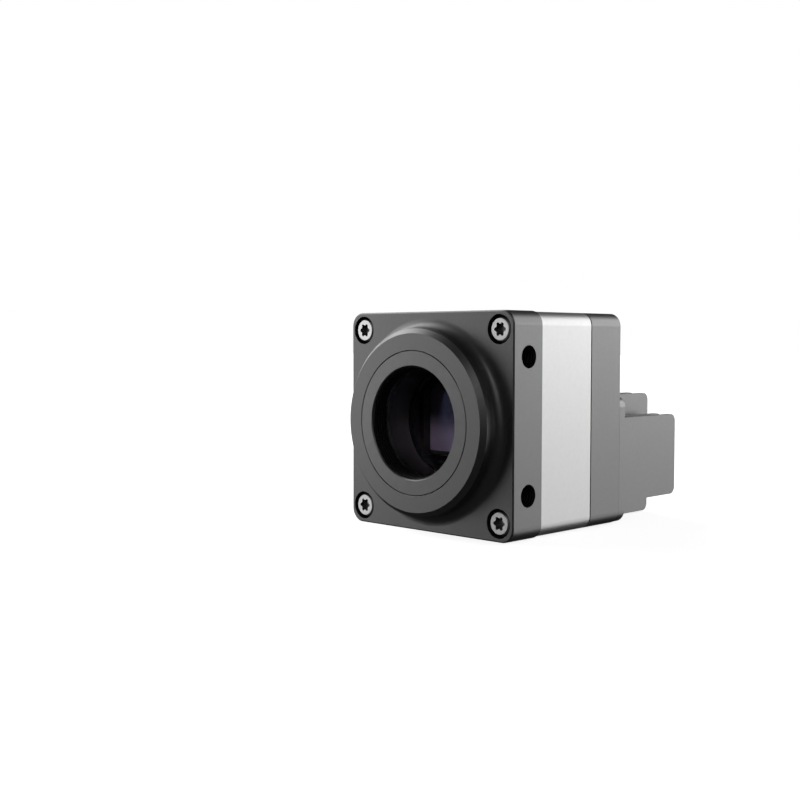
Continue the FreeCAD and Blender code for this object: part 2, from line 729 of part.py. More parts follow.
def turn_board_screw(body, thickness):
    """A small screw whose head seats at the body's own station 0 and whose shank points forwards."""
    shank_end = f"-({thickness} + board_screw_reach)"
    turn(body, [
        ("0", shank_end),
        ("standoff_stud_radius", shank_end),
        ("standoff_stud_radius", "0"),
        ("board_screw_head_radius", "0"),
        ("board_screw_head_radius", "board_screw_head_height"),
        ("0", "board_screw_head_height"),
    ])


def interface_board():
    """The upper board that carries the connectors' contacts and the two status lamps."""
    board = block("interface_board", BOARD, "interface_board_height", INTERFACE_BOARD,
                  "interface_board_thickness", z=INTERFACE_BOARD_Z)
    middle = number(INTERFACE_BOARD_Z)
    upper = edge_names(board.Tip, lambda edge: straight_along(DEPTH)(edge) and edge.BoundBox.ZMin > middle)
    dress(board, "PartDesign::Chamfer", upper, "Size", "board_corner_cut")
    holes = new_sketch(board, "XZ_Plane", INTERFACE_BOARD)
    for sign in (-1, 1):
        draw_circle(holes, "board_hole_radius", f"{sign} * {INTERFACE_HOLE_X}", INTERFACE_HOLE_Z)
    pocket(board, holes, "interface_board_thickness")

    spacer = new_body("interface_standoff_model", INTERFACE_HOLE_X, "0", INTERFACE_HOLE_Z)
    turn(spacer, [
        ("0", PROCESSOR_BOARD_BACK),
        ("standoff_radius", PROCESSOR_BOARD_BACK),
        ("standoff_radius", INTERFACE_BOARD),
        ("post_tap_radius", INTERFACE_BOARD),
        ("post_tap_radius", f"{INTERFACE_BOARD} - standoff_tap_depth"),
        ("0", f"{INTERFACE_BOARD} - standoff_tap_depth"),
    ])
    two_of("interface_standoffs", spacer)
    screw = new_body("interface_screw_model", INTERFACE_HOLE_X, INTERFACE_BOARD_BACK, INTERFACE_HOLE_Z)
    turn_board_screw(screw, "interface_board_thickness")
    two_of("interface_screws", screw)


def shell_lobes(body, front, length, radius="case_screw_lobe_radius"):
    """Round material in the shell's corners for the case screws."""
    lobes = new_sketch(body, "XZ_Plane", front)
    draw_corners(lobes, radius, CASE_SCREW, CASE_SCREW)
    pad(body, lobes, length)


def centre_housing():
    """The pale sleeve between the dark front and rear housings."""
    body = keep(new_body("centre_housing"))
    outline = new_sketch(body, "XZ_Plane", SLEEVE_FRONT)
    draw_rounded_rectangle(outline, SHELL, SHELL, SHELL_RADIUS)
    draw_rounded_rectangle(outline, INSIDE, INSIDE, "inner_corner_radius")
    pad(body, outline, "sleeve_length")
    shell_lobes(body, SLEEVE_FRONT, "sleeve_length")
    holes = new_sketch(body, "XZ_Plane", SLEEVE_FRONT)
    draw_corners(holes, "case_screw_radius + case_screw_clearance", CASE_SCREW, CASE_SCREW)
    pocket(body, holes, "sleeve_length")


def seals():
    """The cord in the front joint and the flat gasket that shows as a line in the rear joint."""
    front = keep(new_body("front_seal"))
    loop = new_sketch(front, "XZ_Plane", f"{SLEEVE_FRONT} - front_seal_depth")
    draw_seal(loop)
    pad(front, loop, "front_seal_depth")

    rear = keep(new_body("rear_seal"))
    outline = new_sketch(rear, "XZ_Plane", SLEEVE_BACK)
    outer = f"({SHELL} - 2 * rear_seal_inset)"
    draw_rounded_rectangle(outline, outer, outer, f"({SHELL_RADIUS} - rear_seal_inset)")
    draw_rounded_rectangle(outline, INSIDE, INSIDE, "inner_corner_radius")
    pad(rear, outline, "rear_seal_thickness")
    shell_lobes(rear, SLEEVE_BACK, "rear_seal_thickness", "(case_screw_lobe_radius - rear_seal_inset)")
    holes = new_sketch(rear, "XZ_Plane", SLEEVE_BACK)
    draw_corners(holes, "case_screw_radius + case_screw_clearance", CASE_SCREW, CASE_SCREW)
    pocket(rear, holes, "rear_seal_thickness")


def rear_housing():
    """The rear shell, with the connectors' openings, the lamps' holes and the heat spreader."""
    body = keep(new_body("rear_housing"))
    outline = new_sketch(body, "XZ_Plane", REAR_FRONT)
    draw_rounded_rectangle(outline, SHELL, SHELL, SHELL_RADIUS)
    pad(body, outline, "rear_depth")
    back_y = number(REAR_FACE)
    rim = edge_names(body.Tip, lambda edge: edge.BoundBox.YMin > back_y - 1e-4)
    dress(body, "PartDesign::Chamfer", rim, "Size", "rear_edge_break")

    hollow = new_sketch(body, "XZ_Plane", REAR_FRONT)
    draw_rounded_rectangle(hollow, INSIDE, INSIDE, "inner_corner_radius")
    pocket(body, hollow, "rear_depth - rear_wall")
    shell_lobes(body, REAR_FRONT, "rear_depth - rear_wall")
    bosses = new_sketch(body, "XZ_Plane", f"{REAR_INSIDE} - sink_boss_length")
    draw_sink_corners(bosses, "sink_boss_radius")
    pad(body, bosses, "sink_boss_length")
    spreader = new_sketch(body, "XZ_Plane", SPREADER_FRONT)
    draw_rectangle(spreader, SPREADER, SPREADER, "0", PROCESSOR_Z)
    pad(body, spreader, f"{REAR_INSIDE} - {SPREADER_FRONT}")

    taps = new_sketch(body, "XZ_Plane", REAR_FRONT)
    draw_corners(taps, "case_screw_radius + thread_clearance", CASE_SCREW, CASE_SCREW)
    pocket(body, taps, "case_screw_tap_depth")
    sink_taps = new_sketch(body, "XZ_Plane", f"{REAR_FACE} - sink_screw_length")
    draw_sink_corners(sink_taps, "sink_screw_radius + thread_clearance")
    pocket(body, sink_taps, "sink_screw_length")

    # Openings of the rear face, cut forwards from it
    round_holes = new_sketch(body, "XZ_Plane", REAR_INSIDE)
    draw_circle(round_holes, "socket_neck_radius + socket_hole_clearance", SOCKET_X, SOCKET_Z)
    for sign in (-1, 1):
        draw_circle(round_holes, "led_window_radius + led_window_clearance", channel(sign), LED_Z)
    pocket(body, round_holes, "rear_wall")
    seal_seat = new_sketch(body, "XZ_Plane", f"{REAR_FACE} - socket_seal_depth")
    draw_circle(seal_seat, SOCKET_SEAL_RADIUS, SOCKET_X, SOCKET_Z)
    pocket(body, seal_seat, "socket_seal_depth")
    slot = new_sketch(body, "XZ_Plane", JACK_PLATE_FRONT)
    draw_slot(slot, "jack_slot_length", "jack_slot_height", CHANNEL_X, JACK_Z)
    pocket(body, slot, "jack_slot_depth")
    inner_slot = new_sketch(body, "XZ_Plane", REAR_INSIDE)
    draw_slot(inner_slot, "(jack_slot_length - 2 * jack_ledge)", "(jack_slot_height - 2 * jack_ledge)",
              CHANNEL_X, JACK_Z)
    pocket(body, inner_slot, "rear_wall")
    pad_seat = new_sketch(body, "XZ_Plane", f"{REAR_FACE} - sink_pad_thickness")
    draw_rectangle(pad_seat, SINK_PAD_WIDTH, SINK_PAD_HEIGHT, "0", SINK_Z)
    pocket(body, pad_seat, "sink_pad_thickness")

    block("heat_sink_pad", SINK_PAD_WIDTH, SINK_PAD_HEIGHT, f"{REAR_FACE} - sink_pad_thickness",
          "sink_pad_thickness", z=SINK_Z)


def channel(sign):
    """The x of one of the two coaxial channels; each has its jack and its lamp there."""
    return f"({CHANNEL_X} + {sign} * channel_pitch / 2)"


def draw_sink_corners(sketch, radius):
    """The same circle at the heat sink's four screws."""
    for sign_u in (-1, 1):
        for sign_v in (-1, 1):
            height = f"{SINK_Z} + {sign_v} * {SINK_SCREW_RISE}"
            draw_circle(sketch, radius, f"{sign_u} * {SINK_SCREW_X}", height)


def row_of_fins(body, members, count, span):
    """Repeats a fin along X."""
    row = body.newObject("PartDesign::LinearPattern", body.Name + "_row")
    row.Originals = members
    row.Direction = (next(item for item in body.Origin.OriginFeatures if item.Role == "X_Axis"), [""])
    bind(row, "Length", span)
    bind(row, "Occurrences", count)
    body.Tip = row
    doc.recompute()
    return row


def heat_sink():
    """Base plate with tall fins in the middle and short ones that leave room for the screws."""
    body = keep(new_body("heat_sink"))
    plate = new_sketch(body, "XZ_Plane", REAR_FACE)
    draw_rectangle(plate, SINK_WIDTH, SINK_HEIGHT, "0", SINK_Z)
    pad(body, plate, "sink_plate")
    middle = number(SINK_Z)
    for above, radius in ((True, "sink_plate_round"), (False, f"({SHELL_RADIUS} - sink_rim)")):
        corners = edge_names(body.Tip, lambda edge: straight_along(DEPTH)(edge)
                             and (edge.BoundBox.ZMin > middle) == above)
        dress(body, "PartDesign::Fillet", corners, "Radius", radius)

    root = f"({SINK_FACE} - sink_plate / 2)"
    for first, count, height in (
        ("-(tall_fin_count - 1) / 2", "tall_fin_count", SINK_HEIGHT),
        ("-((tall_fin_count - 1) / 2 + short_fin_count)", "short_fin_count", SHORT_FIN_HEIGHT),
        ("((tall_fin_count - 1) / 2 + 1)", "short_fin_count", SHORT_FIN_HEIGHT),
    ):
        sketch = new_sketch(body, "YZ_Plane", f"{first} * {FIN_PITCH}")
        draw_fin(sketch, root, height)
        made = feature(body, "PartDesign::Pad", sketch, Midplane=True)
        bind(made, "Length", "fin_thickness")
        doc.recompute()
        row_of_fins(body, [made], count, f"({count} - 1) * {FIN_PITCH}")

    pockets = new_sketch(body, "XZ_Plane", SINK_SEAT)
    draw_sink_corners(pockets, "sink_pocket_radius")
    pocket(body, pockets, "sink_pocket_depth")
    holes = new_sketch(body, "XZ_Plane", REAR_FACE)
    draw_sink_corners(holes, "sink_screw_radius + sink_screw_clearance")
    pocket(body, holes, "sink_plate")


def draw_fin(sketch, root, height):
    """A fin's outline from inside the plate to its tip, with two arcs at the tip."""
    low, high = number(f"{SINK_Z} - {height} / 2"), number(f"{SINK_Z} + {height} / 2")
    start, tip, arc_radius = number(root), number(f"{SINK_FACE} + fin_length"), number("fin_round")
    point = FreeCAD.Vector
    normal = point(0, 0, 1)
    lower = sketch.addGeometry(Part.LineSegment(point(start, low, 0), point(tip - arc_radius, low, 0)), False)
    lower_arc = sketch.addGeometry(Part.ArcOfCircle(Part.Circle(
        point(tip - arc_radius, low + arc_radius, 0), normal, arc_radius), -QUARTER_TURN, 0), False)
    end = sketch.addGeometry(Part.LineSegment(
        point(tip, low + arc_radius, 0), point(tip, high - arc_radius, 0)), False)
    upper_arc = sketch.addGeometry(Part.ArcOfCircle(Part.Circle(
        point(tip - arc_radius, high - arc_radius, 0), normal, arc_radius), 0, QUARTER_TURN), False)
    upper = sketch.addGeometry(Part.LineSegment(
        point(tip - arc_radius, high, 0), point(start, high, 0)), False)
    back = sketch.addGeometry(Part.LineSegment(point(start, high, 0), point(start, low, 0)), False)
    for one, other in ((lower, lower_arc), (lower_arc, end), (end, upper_arc), (upper_arc, upper)):
        constrain(sketch, "Tangent", one, 2, other, 1)
    constrain(sketch, "Coincident", upper, 2, back, 1)
    constrain(sketch, "Coincident", back, 2, lower, 1)
    for line in (lower, upper):
        constrain(sketch, "Horizontal", line)
    for line in (end, back):
        constrain(sketch, "Vertical", line)
    constrain(sketch, "Equal", lower_arc, upper_arc)
    constrain(sketch, "Radius", lower_arc, value="fin_round")
    constrain(sketch, "DistanceX", -1, 1, back, 1, value=root)
    constrain(sketch, "DistanceX", -1, 1, end, 1, value=f"{SINK_FACE} + fin_length")
    constrain(sketch, "DistanceY", -1, 1, lower, 1, value=f"{SINK_Z} - {height} / 2")
    constrain(sketch, "DistanceY", -1, 1, upper, 2, value=f"{SINK_Z} + {height} / 2")


def six_lobe_recess(body, front):
    """The driver recess of a screw head: a round pocket with lobes about the body's own Y axis."""
    core = new_sketch(body, "XZ_Plane", front)
    draw_circle(core, "recess_radius")
    pocket(body, core, "recess_depth")
    lobe = new_sketch(body, "XZ_Plane", front)
    draw_circle(lobe, "recess_lobe_radius", "recess_radius", "0")
    cut = pocket(body, lobe, "recess_depth")
    lobes = body.newObject("PartDesign::PolarPattern", body.Name + "_lobes")
    lobes.Originals = [cut]
    lobes.Axis = (lobe, ["N_Axis"])
    lobes.Angle = 360.0
    bind(lobes, "Occurrences", "recess_lobe_count")
    body.Tip = lobes
    doc.recompute()


def case_screws():
    """Four long screws that clamp front, sleeve and rear housings together."""
    screw = new_body("case_screw_model", CASE_SCREW, "0", CASE_SCREW)
    turn(screw, [
        ("0", CASE_HEAD_FRONT),
        ("case_head_radius - case_head_edge", CASE_HEAD_FRONT),
        ("case_head_radius", f"{CASE_HEAD_FRONT} + case_head_edge"),
        ("case_head_radius", CASE_SEAT),
        ("case_screw_radius", CASE_SEAT),
        ("case_screw_radius", f"{REAR_FRONT} + case_screw_reach"),
        ("0", f"{REAR_FRONT} + case_screw_reach"),
    ])
    six_lobe_recess(screw, CASE_HEAD_FRONT)
    four_of("case_screws", screw)


def heat_sink_screws():
    """Four small screws that hold the heat sink on the rear face."""
    screw = new_body("sink_screw_model", SINK_SCREW_X, "0", f"{SINK_Z} + {SINK_SCREW_RISE}")
    tip = f"({SINK_SEAT} - sink_screw_length + sink_pocket_depth)"
    top = f"({SINK_SEAT} + sink_head_height)"
    turn(screw, [
        ("0", tip),
        ("sink_screw_radius", tip),
        ("sink_screw_radius", SINK_SEAT),
        ("sink_head_radius", SINK_SEAT),
        ("sink_head_radius", f"{top} - sink_head_edge"),
        ("sink_head_radius - sink_head_edge", top),
        ("0", top),
    ])
    four_of("heat_sink_screws", screw, SINK_Z)


def coax_jacks():
    """The black plate in the rear slot and the two gold jacks that stand on it."""
    plate = keep(new_body("jack_plate"))
    outline = new_sketch(plate, "XZ_Plane", JACK_PLATE_FRONT)
    draw_slot(outline, "(jack_slot_length - 2 * jack_plate_clearance)",
              "(jack_slot_height - 2 * jack_plate_clearance)", CHANNEL_X, JACK_Z)
    pad(plate, outline, "jack_plate_thickness")
    holes = new_sketch(plate, "XZ_Plane", JACK_PLATE_FRONT)
    for sign in (-1, 1):
        draw_circle(holes, "jack_barrel_radius + jack_hole_clearance", channel(sign), JACK_Z)
    pocket(plate, holes, "jack_plate_thickness")
    for index, sign in ((1, 1), (2, -1)):
        coax_jack(index, channel(sign))


def coax_jack(index, x):
    """One jack. Station 0 of its own frame is the camera's rear face."""
    where = (x, REAR_FACE, JACK_Z)
    plate_back = f"({JACK_PLATE_BACK} - {REAR_FACE})"
    tail = f"({JACK_PLATE_FRONT} - {REAR_FACE} - jack_tail_length)"
    collar = "(jack_barrel_length + jack_groove_width)"
    collar_end = f"({collar} + jack_collar_width)"
    rim = "(jack_length - jack_rim_length)"
    shell = keep(new_body(f"coax_jack_{index}", *where))
    turn(shell, [
        ("jack_bore_radius", tail),
        ("jack_barrel_radius", tail),
        ("jack_barrel_radius", "jack_barrel_length"),
        ("jack_neck_radius", "jack_barrel_length"),
        ("jack_neck_radius", collar),
        ("jack_collar_radius", collar),
        ("jack_collar_radius", collar_end),
        ("jack_neck_radius", collar_end),
        ("jack_neck_radius", rim),
        ("jack_collar_radius", rim),
        ("jack_collar_radius", "jack_length"),
        ("jack_bore_radius", "jack_length"),
    ])
    sleeve_end = "(jack_length - jack_insulator_recess)"
    round_ring(f"coax_insulator_{index}", "jack_contact_radius", "jack_insulator_radius",
               tail, sleeve_end, *where)
    board = f"({INTERFACE_BOARD_BACK} - {REAR_FACE})"
    contact_end = "(jack_length - jack_contact_recess)"
    round_ring(f"coax_contact_{index}", "0", "jack_contact_radius", board, contact_end, *where)
    nut = keep(new_body(f"coax_nut_{index}", *where))
    nut_front = f"({plate_back} + jack_nut_thickness)"
    turn(nut, [
        ("jack_barrel_radius", plate_back),
        ("jack_nut_radius", plate_back),
        ("jack_nut_radius", f"{nut_front} - jack_nut_edge"),
        ("jack_nut_radius - jack_nut_edge", nut_front),
        ("jack_barrel_radius", nut_front),
    ])


def round_socket():
    """Round input-output socket: flared shell, nut and seal, stepped insulator and contacts."""
    where = (SOCKET_X, REAR_FACE, SOCKET_Z)
    neck_end = "-socket_neck_length"
    shell = keep(new_body("io_socket_shell", *where))
    turn(shell, [
        ("socket_bore_radius", neck_end),
        ("socket_neck_radius", neck_end),
        ("socket_neck_radius", "0"),
        ("socket_flange_radius", "0"),
        ("socket_flange_radius", "socket_flange_edge"),
        ("socket_flange_front_radius", "socket_flange_height"),
        ("socket_radius", "socket_flange_height"),
        ("socket_radius", "socket_length"),
        ("socket_bore_radius", "socket_length"),
    ])
    for station, rounding in (("socket_flange_height", "socket_flare"),
                              ("socket_length", "socket_rim_round")):
        corner = edge_names(shell.Tip, lambda edge: is_ring(edge, number("socket_radius"), number(station)))
        dress(shell, "PartDesign::Fillet", corner, "Radius", rounding)

    round_ring("io_socket_seal", "socket_neck_radius", SOCKET_SEAL_RADIUS, "-socket_seal_depth", "0", *where)
    nut = keep(new_body("io_socket_nut", *where))
    nut_back = f"({REAR_INSIDE} - {REAR_FACE})"
    turn(nut, [
        ("socket_neck_radius", f"{nut_back} - socket_nut_thickness"),
        ("socket_nut_radius", f"{nut_back} - socket_nut_thickness"),
        ("socket_nut_radius", nut_back),
        ("socket_neck_radius", nut_back),
    ])

    face = "(socket_length - insulator_recess)"
    insulator = keep(new_body("io_socket_insulator", *where))
    turn(insulator, [
        ("0", neck_end),
        ("socket_bore_radius - insulator_clearance", neck_end),
        ("socket_bore_radius - insulator_clearance", face),
        ("0", face),
    ])
    step = new_sketch(insulator, "XZ_Plane", f"{face} - insulator_step_depth")
    draw_rectangle(step, "2 * socket_radius", "socket_radius", "0", "insulator_step + socket_radius / 2")
    pocket(insulator, step, "insulator_step_depth")
    root = f"({face} - contact_hole_depth)"
    bores = new_sketch(insulator, "XZ_Plane", root)
    contacts = []
    for u, v in contact_spots():
        draw_circle(bores, "contact_hole_radius", u, v)
        contact = new_body("io_contact_model", f"{SOCKET_X} + {u}", REAR_FACE, f"{SOCKET_Z} + {v}")
        tip = f"({face} - contact_recess)"
        turn(contact, [("0", root), ("contact_radius", root), ("contact_radius", tip), ("0", tip)])
        contacts.append(contact)
    pocket(insulator, bores, "contact_hole_depth")
    group("io_socket_contacts", contacts)


def contact_spots():
    """Places of the contacts in the socket's own frame: an outer arc and an inner one, open at the top."""
    spots = []
    for radius, count in (("contact_ring_radius", "contact_ring_count"),
                          ("contact_core_radius", "contact_core_count")):
        for step in range(round(number(count))):
            turned = f"(270 + contact_ring_angle * ({step} / ({count} - 1) - 0.5))"
            spots.append((f"{radius} * cos({turned})", f"{radius} * sin({turned})"))
    return spots


def status_lamps():
    """Lamp windows in the rear wall and the lamps behind them on the interface board."""
    for index, sign in ((1, 1), (2, -1)):
        where = (channel(sign), "0", LED_Z)
        round_ring(f"lamp_window_{index}", "0", "led_window_radius",
                   f"{INTERFACE_BOARD_BACK} + led_chip_height + led_chip_gap",
                   f"{REAR_FACE} - led_window_recess", *where)
    lamps = []
    for sign in (-1, 1):
        lamp = new_body("lamp_model")
        outline = new_sketch(lamp, "XZ_Plane", INTERFACE_BOARD_BACK)
        draw_rectangle(outline, "led_chip_size", "led_chip_size", channel(sign), LED_Z)
        pad(lamp, outline, "led_chip_height")
        lamps.append(lamp)
    group("lamps", lamps)


def check_document():
    """Stops if any object failed or any sub-part has no valid solid."""
    for thing in doc.Objects:
        if "Invalid" in thing.State or "Error" in thing.State:
            raise RuntimeError(f"{thing.Name} failed: {thing.State}")
    for node in nodes:
        shape = node.Shape
        if shape.isNull() or not shape.isValid() or not shape.Solids:
            raise RuntimeError(f"{node.Label} has no valid solid")


front_housing()
lens_mount_ring()
filter_stack()
image_sensor()
board_stack()
interface_board()
centre_housing()
seals()
rear_housing()
heat_sink()
case_screws()
heat_sink_screws()
coax_jacks()
round_socket()
status_lamps()

doc.recompute()
check_document()
for node in nodes:
    node.Shape.exportStep(f"parts/{node.Label}.step")
    print(f"{node.Label}: {len(node.Shape.Solids)} solid(s), {node.Shape.Volume:.1f} mm3")
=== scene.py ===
import json
import math

import bpy
from mathutils import Matrix, Vector


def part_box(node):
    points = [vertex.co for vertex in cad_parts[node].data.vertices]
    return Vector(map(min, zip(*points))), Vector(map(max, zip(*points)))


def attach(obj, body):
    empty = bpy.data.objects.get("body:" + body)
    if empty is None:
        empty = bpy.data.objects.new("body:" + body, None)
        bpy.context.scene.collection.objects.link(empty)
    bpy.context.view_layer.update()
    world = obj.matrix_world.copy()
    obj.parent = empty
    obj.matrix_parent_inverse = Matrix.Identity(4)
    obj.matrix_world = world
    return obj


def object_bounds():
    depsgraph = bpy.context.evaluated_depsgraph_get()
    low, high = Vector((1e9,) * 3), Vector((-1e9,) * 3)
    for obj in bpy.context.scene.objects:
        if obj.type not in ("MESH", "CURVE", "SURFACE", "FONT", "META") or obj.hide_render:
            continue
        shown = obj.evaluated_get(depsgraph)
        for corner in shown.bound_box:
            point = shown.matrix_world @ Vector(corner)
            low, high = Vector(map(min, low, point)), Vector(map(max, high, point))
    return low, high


# The frame is in metres; MM turns the millimetres below into it.
MM = 0.001

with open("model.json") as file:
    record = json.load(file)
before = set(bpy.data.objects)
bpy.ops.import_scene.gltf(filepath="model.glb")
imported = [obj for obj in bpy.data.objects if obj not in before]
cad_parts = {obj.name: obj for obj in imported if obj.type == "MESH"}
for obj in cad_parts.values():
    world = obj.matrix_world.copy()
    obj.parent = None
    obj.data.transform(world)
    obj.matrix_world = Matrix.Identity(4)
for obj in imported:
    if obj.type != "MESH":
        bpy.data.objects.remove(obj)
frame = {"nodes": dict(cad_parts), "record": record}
cad_low, cad_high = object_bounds()

WHITE = (1.0, 1.0, 1.0, 1.0)

# The photo's camera, solved from the body's edges and circles: focal length and picture width in
# pixels, film width and place in millimetres, angles in degrees, clipping distances in metres
FOCAL_PIXELS, PICTURE_PIXELS = 1179.56, 800
FILM_WIDTH = 36.0
CAMERA_PLACE = (183.202, -188.646, 18.243)
CAMERA_YAW, CAMERA_PITCH, CAMERA_ROLL = 44.728, 2.840, 0.053
CLIP_NEAR, CLIP_FAR = 0.01, 20

# The room's level, and its panels: bearing, height and spread in degrees, and level
ROOM_LEVEL = 0.025
PANELS = (
    (58, -12, 22, 0.26),
    (58, 5, 22, 1.25),
    (72, 5, 20, 1.9),
    (70, 38, 26, 0.79),
    (98, 30, 34, 2.4),
    (180, 10, 26, 1.55),
    (198, 26, 18, 1.95),
    (200, 12, 22, 1.75),
    (216, 6, 12, 2.65),
    (216, -18, 18, 1.33),
    (232, 2, 22, 0.51),
    (300, 22, 16, 0.15),
    (315, 12, 22, 0.15),
    (320, 33, 13, 0.9),
    (322, 42, 12, 0.4),
)

# The floor: half its width in metres, its tone, and its tone for all rays but the camera's
FLOOR_REACH = 3.0
FLOOR_PALE = 0.8
FLOOR_DULL = 0.12

# The floor's own light for the camera: its level near the object, and the distances from the
# frame's origin, in millimetres, between which it rises to full
FLOOR_LIFT = 0.85
FLOOR_NEAR, FLOOR_FAR = 60, 160

# The part of a noise's values that the finishes use
NOISE_LOW, NOISE_HIGH = 0.3, 0.7

# How far a blasted finish's roughness varies, and between which shares a plated one's does
BLASTED_SWING = 0.02
PLATED_LOW, PLATED_HIGH = 0.8, 1.25

# The front housing's painted shade in its bore: how far it reaches from the optical axis in
# millimetres, and the share of its tone that is left there
BORE_REACH = 15.0
BORE_SHADE_SHARE = 0.68

# How far behind a screw head's face its painted shade starts, in millimetres, and the share of its
# tone that is left there
HEAD_SHADE = 0.06
RECESS_SHADE_SHARE = 0.3

# The glass of the filter and of the sensor's cover: its roughness and refraction, and the
# thickness in nanometres and refraction of its coating
GLASS_ROUGH, GLASS_IOR = 0.02, 1.25
COATING_THICKNESS, COATING_IOR = 240.0, 1.38

# The sensor's painted reflection, a sheen painted into its colour: up to where it is full and where
# it has faded, in millimetres above the sensor's foot, and the share of it that is left higher up
PAINTED_SHEEN_FULL, PAINTED_SHEEN_TOP = 3.2, 9.5
PAINTED_SHEEN_SHARE = 0.1

# Threads in millimetres: the lens thread of the mount, and the M5 threads in the sides. A radius
# is the hole's, a crest is the ridge's, and a start is the plain depth at the mouth. An end is
# what the ridge's turns leave free at the far end: its last turn fills one pitch of that.
LENS_RADIUS, LENS_CREST, LENS_PITCH = 12.72, 12.32, 0.794
LENS_START, LENS_END = 0.3, 2 * LENS_PITCH
SIDE_RADIUS, SIDE_CREST, SIDE_PITCH = 2.52, 2.1, 0.8
SIDE_START, SIDE_END = 0.25, SIDE_PITCH

# How many steps a turn of a thread has, and where its ridge leaves the hole, reaches its crest,
# leaves the crest and meets the hole again, in shares of the pitch
THREAD_SEGMENTS = 72
RIDGE_SHARES = (0.06, 0.44, 0.56, 0.94)

# The heat sink's screws in millimetres: the heads, and the sockets from corner to centre
SINK_HEAD_RADIUS = 1.95
SOCKET_CORNERS = 6
SOCKET_RADIUS = 1.0
SOCKET_THICKNESS = 0.02

# Printed numerals: the share of the font's size that a capital is high, their thickness, and for
# each its name, text, and place and height on the rear face, in millimetres
CAPITAL_SHARE = 0.7
PRINT_THICKNESS = 0.02
PRINTS = (
    ("print_channel_1", "1", 13.65, 8.0, 1.5),
    ("print_channel_2", "2", 4.45, 8.0, 1.5),
    ("print_socket", "3", -12.7, 7.4, 1.5),
)


def linear(level):
    """The linear value of a display level from 0 to 255."""
    share = level / 255
    if share <= 0.04045:
        return share / 12.92
    return ((share + 0.055) / 1.055) ** 2.4


def grey(level, tint=(1.0, 1.0, 1.0)):
    """The colour of a display level from 0 to 255, tinted."""
    return tuple(linear(level) * part for part in tint) + (1.0,)


def add_node(tree, kind, **settings):
    """A new node with its properties set."""
    node = tree.nodes.new(kind)
    for name, setting in settings.items():
        setattr(node, name, setting)
    return node


def arithmetic(tree, operation, *terms):
    """The result of a math node whose terms are sockets or numbers."""
    node = add_node(tree, "ShaderNodeMath", operation=operation)
    for index, term in enumerate(terms):
        if isinstance(term, (int, float)):
            node.inputs[index].default_value = term
        else:
            tree.links.new(term, node.inputs[index])
    return node.outputs["Value"]


def ramp(tree, factor, start, end, low, high):
    """A smooth step of a factor from low to high."""
    node = add_node(tree, "ShaderNodeMapRange", interpolation_type="SMOOTHSTEP")
    settings = (("From Min", start), ("From Max", end), ("To Min", low), ("To Max", high))
    for name, setting in settings:
        node.inputs[name].default_value = setting
    tree.links.new(factor, node.inputs["Value"])
    return node.outputs["Result"]


